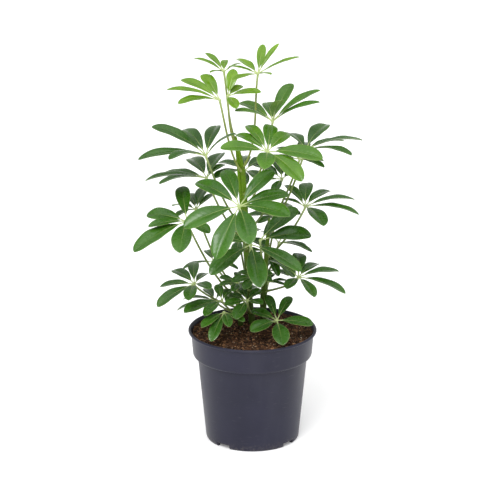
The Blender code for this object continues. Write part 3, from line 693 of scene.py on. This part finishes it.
def cut_drains(pot):
    """Cut the notches through the foot ring and a drain hole behind each of them."""
    cutter = Shell()
    foot_inside = FOOT_RADIUS - FOOT_WIDTH
    hole_outside = foot_inside - 2 * MM
    for index in range(DRAINS):
        turn = DRAIN_TURN + math.tau * index / DRAINS
        drain_block(cutter, turn, foot_inside - MM, BODY_FOOT_RADIUS + MM, NOTCH_WIDTH, NOTCH_HEIGHT)
        drain_block(cutter, turn, hole_outside - HOLE_LENGTH, hole_outside, HOLE_WIDTH,
                    CHANNEL_HEIGHT + FLOOR + MM)
    drains = cutter.piece("drain_cutter", [])
    cut = pot.modifiers.new("drains", "BOOLEAN")
    cut.operation = "DIFFERENCE"
    cut.object = drains
    depsgraph = bpy.context.evaluated_depsgraph_get()
    pot.data = bpy.data.meshes.new_from_object(pot.evaluated_get(depsgraph))
    pot.modifiers.clear()
    bpy.data.objects.remove(drains, do_unlink=True)


# ---------------------------------------- soil
SOIL_SIDES = 180
SOIL_TOP_RINGS = 52
SOIL_SEED = 5
CRUMBS = 2200
FIBRES = 600
GRAINS = 300
# A pebble's rings: height and width for a size of 1.
LUMP_RINGS = ((-0.75, 0.62), (-0.2, 1.0), (0.35, 0.92), (0.8, 0.5))
LUMP_SIDES = 7
SOIL_MARGIN = 2.5 * MM
SOIL_GAP = 0.3 * MM


def soil_edge_radius():
    """The radius of the soil where it meets the pot's inside."""
    depth = POT_HEIGHT - LIP_DEPTH - WALL - COLLAR_FOOT_HEIGHT
    share = (SOIL_EDGE_HEIGHT - SOIL_EDGE_DROP - COLLAR_FOOT_HEIGHT) / depth
    return COLLAR_FOOT_RADIUS + (COLLAR_TOP_RADIUS - COLLAR_FOOT_RADIUS) * share - WALL - SOIL_GAP


def soil_height(x, y):
    """The soil's surface: a low crown round the stems, hollows and lumps."""
    reach = math.hypot(x, y - STEM_CLUMP_Y) / COLLAR_FOOT_RADIUS
    crown = SOIL_CROWN * math.exp(-3 * reach * reach)
    swell = SOIL_SWELL * math.sin(61 * x + 1.3) * math.sin(73 * y + 0.4)
    lumps = 1.5 * MM * noise.noise(Vector((x, y, 0.0)) * 140)
    lumps += 0.9 * MM * noise.noise(Vector((x, y, 0.4)) * 420)
    lumps += 0.4 * MM * noise.noise(Vector((x, y, 0.8)) * 1100)
    return SOIL_EDGE_HEIGHT + crown + swell + lumps


def build_soil(earth):
    """The body of the soil, from the pot's floor to its lumpy surface."""
    shell = Shell(tone=0.0)
    edge = soil_edge_radius()
    inside = [
        (CHANNEL_INNER_RADIUS - 2.5 * MM - SOIL_GAP, FLOOR + SOIL_GAP),
        (CHANNEL_INNER_RADIUS - 1.5 * MM - SOIL_GAP, CHANNEL_HEIGHT + FLOOR + SOIL_GAP),
        (BODY_FOOT_RADIUS - WALL - SOIL_GAP, CHANNEL_HEIGHT + FLOOR + SOIL_GAP),
        (BODY_TOP_RADIUS - WALL - SOIL_GAP, BODY_TOP_HEIGHT + 1.8 * MM),
        (LEDGE_RADIUS - WALL - SOIL_GAP, LEDGE_HEIGHT + 1.5 * MM),
        (edge, SOIL_EDGE_HEIGHT - SOIL_EDGE_DROP),
    ]
    rings = [ring_of(shell, radius, height, SOIL_SIDES, tone=0.3) for radius, height in inside]
    for step in range(SOIL_TOP_RINGS):
        radius = edge * (1 - step / SOIL_TOP_RINGS)
        ring = []
        for side in range(SOIL_SIDES):
            turn = math.tau * side / SOIL_SIDES
            x, y = radius * math.cos(turn), radius * math.sin(turn)
            tone = 0.35 + 0.5 * noise.noise(Vector((x, y, 2.0)) * 220)
            ring.append(shell.point(Vector((x, y, soil_height(x, y))), tone=tone))
        rings.append(ring)
    for low, high in zip(rings, rings[1:]):
        shell.bridge(low, high)
    shell.face(*reversed(rings[0]))
    middle = shell.point(Vector((0.0, 0.0, soil_height(0.0, 0.0))), tone=0.3)
    for side in range(SOIL_SIDES):
        shell.face(rings[-1][side], rings[-1][(side + 1) % SOIL_SIDES], middle)
    stand_for(shell.piece("soil_bed", [earth], sharp_angle=80), "potting_soil", "soil")


def on_soil(rng):
    """A random place on the soil, clear of the pot's wall."""
    reach = (soil_edge_radius() - SOIL_MARGIN) * math.sqrt(rng.random())
    turn = rng.uniform(0.0, math.tau)
    x, y = reach * math.cos(turn), reach * math.sin(turn)
    return Vector((x, y, soil_height(x, y)))


def lump(shell, middle, size, squash, rng, tone):
    """A rough pebble, turned and dented at random."""
    turned = rng.uniform(0.0, math.tau)
    lean = Vector((rng.uniform(-0.5, 0.5), rng.uniform(-0.5, 0.5), 1.0)).normalized()
    across = lean.orthogonal().normalized()
    other = lean.cross(across)
    rings = []
    for level, width in LUMP_RINGS:
        ring = []
        for side in range(LUMP_SIDES):
            turn = turned + math.tau * side / LUMP_SIDES
            reach = width * rng.uniform(0.75, 1.2)
            flat = across * math.cos(turn) + other * math.sin(turn) * squash[0]
            ring.append(shell.point(middle + (flat * reach + lean * level * squash[1]) * size,
                                    tone=tone))
        rings.append(ring)
    shell.skin(rings)


def build_crumbs(earth, rng):
    """Crumbs and flakes of bark and peat that lie loose on the soil."""
    shell = Shell(tone=0.0)
    for _ in range(CRUMBS):
        size = (0.6 + 2.2 * rng.random() ** 2.2) * MM
        place = on_soil(rng) + UP * size * 0.15
        squash = (rng.uniform(0.5, 1.0), rng.uniform(0.4, 0.9))
        lump(shell, place, size, squash, rng, rng.random() ** 1.5)
    stand_for(shell.piece("soil_crumbs", [earth], sharp_angle=40), "potting_soil")


def build_grains(pale, rng):
    """Pale mineral grains between the crumbs."""
    shell = Shell(tone=0.0)
    for _ in range(GRAINS):
        size = rng.uniform(0.4, 1.1) * MM
        lump(shell, on_soil(rng) + UP * size * 0.4, size, (0.9, 0.8), rng, rng.random())
    stand_for(shell.piece("soil_grains", [pale], sharp_angle=50), "potting_soil")


def build_fibres(fibre, rng):
    """Short bent fibres of coir and bark that lie on the soil."""
    shell = Shell(tone=0.0)
    for _ in range(FIBRES):
        middle = on_soil(rng)
        turn = rng.uniform(0.0, math.tau)
        along = Vector((math.cos(turn), math.sin(turn), rng.uniform(-0.15, 0.25)))
        side = Vector((-along.y, along.x, 0.0)) * rng.uniform(-0.35, 0.35)
        length = rng.uniform(2.5, 10.0) * MM
        path = []
        for step in range(6):
            share = step / 5 - 0.5
            path.append(middle + (along * share + side * (0.25 - share * share)) * length
                        + UP * rng.uniform(0.2, 0.9) * MM)
        width = rng.uniform(0.14, 0.45) * MM
        shell.tube(path, [width * 0.6, width, width, width, width * 0.8, width * 0.4], 4,
                   tone=rng.random())
    stand_for(shell.piece("soil_fibres", [fibre], sharp_angle=80), "potting_soil")


# ---------------------------------------- stems
def stem_at(name, height):
    """The middle and the radius of a stem, in metres, at a height."""
    points, radii = STEMS[name]
    path = smooth_values([Vector(point) * MM for point in points], STEM_STEPS)
    widths = smooth_values([radius * MM for radius in radii], STEM_STEPS)
    path.insert(0, path[0] - UP * ROOT_DEPTH)
    widths.insert(0, widths[0])
    for low, high, wide, narrow in zip(path, path[1:], widths, widths[1:]):
        if low.z <= height <= high.z:
            share = (height - low.z) / (high.z - low.z)
            return low.lerp(high, share), wide + (narrow - wide) * share
    return path[-1], widths[-1]


def build_stem(name, bark, rng):
    """A stem with a ring and a half-moon scar wherever an old leaf has dropped."""
    feet = [joins * MM for stem, joins, *_ in LEAVES.values() if stem == name]
    foot, top = STEMS[name][0][0][2] * MM, STEMS[name][0][-1][2] * MM
    scars = []
    height = foot + 4 * MM
    while height < top - 6 * MM:
        scars.append((height, rng.uniform(0.0, math.tau)))
        height += SCAR_SPACING * rng.uniform(0.6, 1.4)
    scars += [(height - 2 * MM, rng.uniform(0.0, math.tau)) for height in feet]
    shell = Shell(scar=0.0)
    rows = round((top - foot + ROOT_DEPTH) / STEM_ROW_LENGTH)
    rings = []
    for row in range(rows + 1):
        height = foot - ROOT_DEPTH + (top - foot + ROOT_DEPTH) * row / rows
        middle, radius = stem_at(name, height)
        if row == rows:
            radius *= 0.5
        ring = []
        for side in range(STEM_SIDES):
            turn = math.tau * side / STEM_SIDES
            out = Vector((math.cos(turn), math.sin(turn), 0.0))
            swell, scar = scar_relief(height, turn, scars)
            rough = BARK_ROUGHNESS * noise.noise(Vector((out.x * 2, out.y * 2, height * 160)))
            ring.append(shell.point(middle + out * (radius + swell + rough), scar=scar))
        rings.append(ring)
    shell.skin(rings)
    stand_for(shell.piece(name + "_bark", [bark]), "green_stem", name)


def scar_relief(height, turn, scars):
    """How far scars swell the bark at a place, and how dark they make it."""
    swell = scar = 0.0
    for scar_height, facing in scars:
        above = (height - scar_height) / MM
        if abs(above) > 4:
            continue
        ring = math.exp(-above * above / 0.5)
        front = 0.5 + 0.5 * math.cos(turn - facing)
        moon = front**3 * math.exp(-((above - 1.4 * front) ** 2) / 1.6)
        swell += (0.22 * ring + 0.42 * moon) * MM
        scar = max(scar, ring * 0.7, moon * 0.9)
    return swell, scar


# ---------------------------------------- leaves
def heading(direction, rise):
    """The unit vector at a direction in the ground plane and a rise, in degrees."""
    turn, lift = math.radians(direction), math.radians(rise)
    flat = math.cos(lift)
    return Vector((flat * math.cos(turn), flat * math.sin(turn), math.sin(lift)))


def outline(share, width_share):
    """Half the blade's width for a length of 1, at a share of the way to its tip."""
    grow, close = 0.95, 0.6
    widest = grow / (grow + close)
    peak = widest**grow * (1 - widest) ** close
    return 0.5 * width_share * share**grow * (1 - share) ** close / peak


def leaflet_frame(chord, upright, length, bend, share):
    """Place, tangent and normal of a leaflet's rib, a circular arc over its chord."""
    lift = (upright - chord * upright.dot(chord)).normalized()
    half = math.radians(bend) / 2
    radius = length / (2 * math.sin(half))
    turn = half - 2 * half * share
    place = chord * (math.sin(half) - math.sin(turn)) + lift * (math.cos(turn) - math.cos(half))
    along = chord * math.cos(turn) + lift * math.sin(turn)
    normal = lift * math.cos(turn) - chord * math.sin(turn)
    return place * radius, along, normal


def blade(shell, hub, frame_at, length, width_share, fresh, rng):
    """A leaflet's blade: a thin closed sheet, folded at the rib, wavy and a little twisted."""
    twist = rng.uniform(-TWIST, TWIST)
    phase, waves = rng.uniform(0.0, math.tau), rng.uniform(1.6, 2.6)
    recurve = rng.uniform(0.10, 0.20)
    fresh += rng.uniform(-0.07, 0.07)
    blade_cm = length * (1 - STALK_SHARE) * 100
    rows_top, rows_under = [], []
    for row in range(BLADE_ROWS + 1):
        t = BLADE_START + BLADE_SPAN * (1 - (1 - row / BLADE_ROWS) ** TIP_CROWDING)
        share = STALK_SHARE + (1 - STALK_SHARE) * t
        middle, along, normal = frame_at(share)
        side = along.cross(normal)
        turned_side = side * math.cos(twist * t) + normal * math.sin(twist * t)
        turned_up = normal * math.cos(twist * t) - side * math.sin(twist * t)
        half_width = max(outline(t, width_share) * length, 0.5 * STALK_RADIUS)
        top, under = [], []
        for column in range(BLADE_COLUMNS + 1):
            v = math.sin(math.pi / 2 * (2 * column / BLADE_COLUMNS - 1))
            out = abs(v)
            fold = math.sin(BLADE_FOLD) * (1 + FOLD_EASING - FOLD_EASING * out)
            lift = (fold + recurve - recurve * out) * out
            wave = WAVE * out**2 * math.sin(waves * math.tau * t + phase + (WAVE_LAG if v > 0 else 0.0))
            at = hub + middle + turned_side * (half_width * v * math.cos(BLADE_FOLD))
            at += turned_up * (half_width * (lift + wave))
            thick = BLADE_THICKNESS / 2 * (1 - EDGE_THINNING * out**4)
            rib = RIB_DEPTH * (1 - 0.8 * t) * math.exp(-((v * half_width / RIB_HALF_WIDTH) ** 2))
            place = Vector((t * blade_cm, v * half_width * 100, t))
            # How near the edge the point is, for the pale margin and its painted highlight.
            edge = max(out, smooth_step(TIP_MARGIN, 1.0, t))
            values = {"blade": place, "pale_margin_and_edge_highlight": edge, "fresh": fresh}
            top.append(shell.point(at + turned_up * (thick - rib * 0.35), **values))
            under.append(shell.point(at - turned_up * (thick + rib), **values))
        rows_top.append(top)
        rows_under.append(under)
    for near, far in zip(rows_top, rows_top[1:]):
        shell.strip(near, far)
    columns_top, columns_under = list(zip(*rows_top)), list(zip(*rows_under))
    for left, right in zip(columns_under, columns_under[1:]):
        shell.strip(left, right, slot=1)
    for first, second in ((columns_top[0], columns_under[0]), (columns_under[-1], columns_top[-1]),
                          (rows_under[0], rows_top[0]), (rows_top[-1], rows_under[-1])):
        shell.strip(first, second, slot=1)


def petiole_path(stem, joins, hub, upright):
    """The leaf stalk's line from inside its stem's bark, up and over to the hub."""
    middle, radius = stem_at(stem, joins)
    outward = Vector((hub.x - middle.x, hub.y - middle.y, 0.0)).normalized()
    foot = middle + outward * radius
    span = (hub - foot).length
    straight = (hub - foot).normalized()
    controls = (
        foot,
        foot + (straight + outward * PETIOLE_SPREAD).normalized() * span * 0.3,
        hub - (straight + upright * PETIOLE_UPTURN).normalized() * span * 0.35,
        hub - upright * HUB_LENGTH / 2,
    )
    path = [foot - outward * PETIOLE_SINK - UP * 0.6 * MM]
    path += [bezier(controls, (step / PETIOLE_ROWS) ** 1.15) for step in range(PETIOLE_ROWS + 1)]
    return path


def leaf_stalk_and_hub(shell, stem, joins, hub, upright, fresh):
    """The leaf stalk with its clasping foot, and the knob that bears the leaflets."""
    path = petiole_path(stem, joins, hub, upright)
    radii, paleness, walked = [], [], 0.0
    for index, place in enumerate(path):
        walked += (place - path[max(index - 1, 0)]).length
        left = (hub - place).length
        foot = (PETIOLE_FOOT_RADIUS - PETIOLE_RADIUS) * math.exp(-walked / (5 * MM))
        head = 0.5 * MM * math.exp(-left / (3 * MM))
        radii.append(PETIOLE_RADIUS + foot + head)
        paleness.append(0.75 * math.exp(-left / (16 * MM)) + 0.25 * math.exp(-walked / (6 * MM)))
    shell.tube(path, radii, PETIOLE_SIDES, slot=2, pale=paleness, fresh=fresh)
    levels, widths = (-0.62, -0.35, 0.0, 0.3, 0.5), (0.55, 0.9, 1.0, 0.86, 0.45)
    shell.tube([hub + upright * level * HUB_LENGTH for level in levels],
               [width * HUB_RADIUS for width in widths], HUB_SIDES, slot=2, pale=0.85, fresh=fresh)


def leaflet_stalk(shell, hub, frame_at, fresh):
    """A leaflet's own short stalk, which runs on into the midrib under the blade."""
    shares = (0.01, 0.04, 0.08, STALK_SHARE, STALK_SHARE + 0.05, STALK_SHARE + 0.12, STALK_SHARE + 0.2)
    widths = (1.25, 1.0, 0.9, 0.95, 0.8, 0.55, 0.3)
    path = []
    for share in shares:
        middle, _, normal = frame_at(share)
        sink = smooth_step(STALK_SHARE - 0.03, STALK_SHARE + 0.2, share) * 0.75 * STALK_RADIUS
        path.append(hub + middle - normal * sink)
    radii = [width * STALK_RADIUS for width in widths]
    shell.tube(path, radii, STALK_SIDES, slot=2, pale=0.9, fresh=fresh)


def build_leaf(name, spec, finishes):
    """One compound leaf: stalk, knob, leaflet stalks and blades."""
    stem, joins, hub_mm, lean, bend, width_share, blades = spec
    rng = random.Random(name)
    hub = Vector(hub_mm) * MM
    upright = Vector((lean[0], lean[1], 1.0)).normalized()
    fresh = FRESHNESS.get(name, USUAL_FRESHNESS)
    shell = Shell(blade=Vector((0.0, 0.0, 0.0)), pale_margin_and_edge_highlight=0.0, fresh=0.0, pale=0.0)
    leaf_stalk_and_hub(shell, stem, joins * MM, hub, upright, fresh)
    for direction, rise, length_mm, *own_width in blades:
        length = length_mm * MM
        frame_at = partial(leaflet_frame, heading(direction, rise), upright, length, bend)
        leaflet_stalk(shell, hub, frame_at, fresh)
        width = own_width[0] if own_width else width_share
        blade(shell, hub, frame_at, length, width, fresh, rng)
    leaf = shell.piece(name + "_fine", finishes)
    slot = "young_leaf" if hub.z > YOUNG_LEAVES_ABOVE else "grown_leaf"
    stand_for(leaf, slot, name)


# ---------------------------------------- studio
CAMERA_PLACE = Vector((-0.0032, -3.754, 1.531))
CAMERA_PITCH = math.radians(18.7)
CAMERA_LENS = 217.7
# The surroundings' strength: 1 up to one height, falling to the sky's at another.
WHITE_UP_TO = 0.10
SKY_FROM = 0.35
SKY = 0.50
# Each light: its name, the way it shines, its spread in degrees and its strength.
LIGHTS = (
    ("soft_key", (0.22, 0.80, -0.92), 30, 1.65),
    ("soft_fill", (0.0, 0.25, -1.0), 90, 1.35),
)


def build_floor():
    """A plain pale floor, far wider than any view of the plant."""
    shell = Shell()
    corners = [shell.point(Vector((x, y, 0.0))) for x, y in ((-9, -9), (9, -9), (9, 9), (-9, 9))]
    shell.face(*corners)
    floor = shell.piece("studio_floor", [white_floor()])


def soft_light(name, facing, spread, strength):
    """A very wide sun, so that its shadows are soft, shining along a direction."""
    light = bpy.data.lights.new(name, "SUN")
    light.angle = math.radians(spread)
    light.energy = strength
    lamp = bpy.data.objects.new(name, light)
    lamp.rotation_euler = Vector(facing).to_track_quat("-Z", "Y").to_euler()
    bpy.context.scene.collection.objects.link(lamp)


def white_surroundings():
    """Light from all round: white at the height of the floor's edge, dimmer overhead."""
    world = bpy.data.worlds.new("studio")
    world.use_nodes = True
    nodes, links = world.node_tree.nodes, world.node_tree.links
    direction = nodes.new("ShaderNodeTexCoord")
    split = nodes.new("ShaderNodeSeparateXYZ")
    links.new(direction.outputs["Generated"], split.inputs[0])
    dimming = nodes.new("ShaderNodeMapRange")
    links.new(split.outputs["Z"], dimming.inputs["Value"])
    for socket, number in zip(dimming.inputs[1:5], (WHITE_UP_TO, SKY_FROM, 1.0, SKY)):
        socket.default_value = number
    links.new(dimming.outputs[0], nodes["Background"].inputs["Strength"])
    nodes["Background"].inputs["Color"].default_value = (1.0, 1.0, 1.0, 1.0)
    return world


def build_studio():
    """Floor, white surroundings, soft lights and the camera."""
    build_floor()
    bpy.context.scene.world = white_surroundings()
    bpy.context.scene.view_settings.view_transform = "Standard"
    for light in LIGHTS:
        soft_light(*light)
    camera = bpy.data.cameras.new("camera")
    camera.lens = CAMERA_LENS
    seen_by = bpy.data.objects.new("camera", camera)
    seen_by.location = CAMERA_PLACE
    seen_by.rotation_euler = (math.pi / 2 - CAMERA_PITCH, 0.0, 0.0)
    bpy.context.scene.collection.objects.link(seen_by)
    bpy.context.scene.camera = seen_by


# ---------------------------------------- the whole picture
def build_plant():
    """Dress the pot, the soil, the stems and every leaf."""
    build_pot(pot_plastic())
    earth = soil_finish("peat", (0.014, 0.006, 0.004), (0.095, 0.038, 0.016), (0.420, 0.220, 0.110))
    fibre = soil_finish("coir", (0.090, 0.036, 0.016), (0.280, 0.130, 0.060), (0.500, 0.290, 0.150))
    pale = soil_finish("pale_grain", (0.300, 0.220, 0.150), (0.480, 0.380, 0.270), (0.680, 0.590, 0.480))
    rng = random.Random(SOIL_SEED)
    build_soil(earth)
    build_crumbs(earth, rng)
    build_fibres(fibre, rng)
    build_grains(pale, rng)
    bark = stem_bark()
    for name in STEMS:
        build_stem(name, bark, rng)
    finishes = [
        leaf_face("leaf_top", ((0.028, 0.101, 0.008), (0.047, 0.158, 0.005), (0.146, 0.293, 0.009)),
                  (0.42, 0.50, 0.16), roughness=0.27, rib_share=0.55, relief_depth=0.20 * MM),
        leaf_face("leaf_under", ((0.070, 0.150, 0.040), (0.110, 0.215, 0.036), (0.200, 0.355, 0.045)),
                  (0.36, 0.44, 0.18), roughness=0.48, rib_share=0.60, relief_depth=-0.20 * MM),
        leaf_stalk(),
    ]
    for name, spec in LEAVES.items():
        build_leaf(name, spec, finishes)


build_plant()
build_studio()
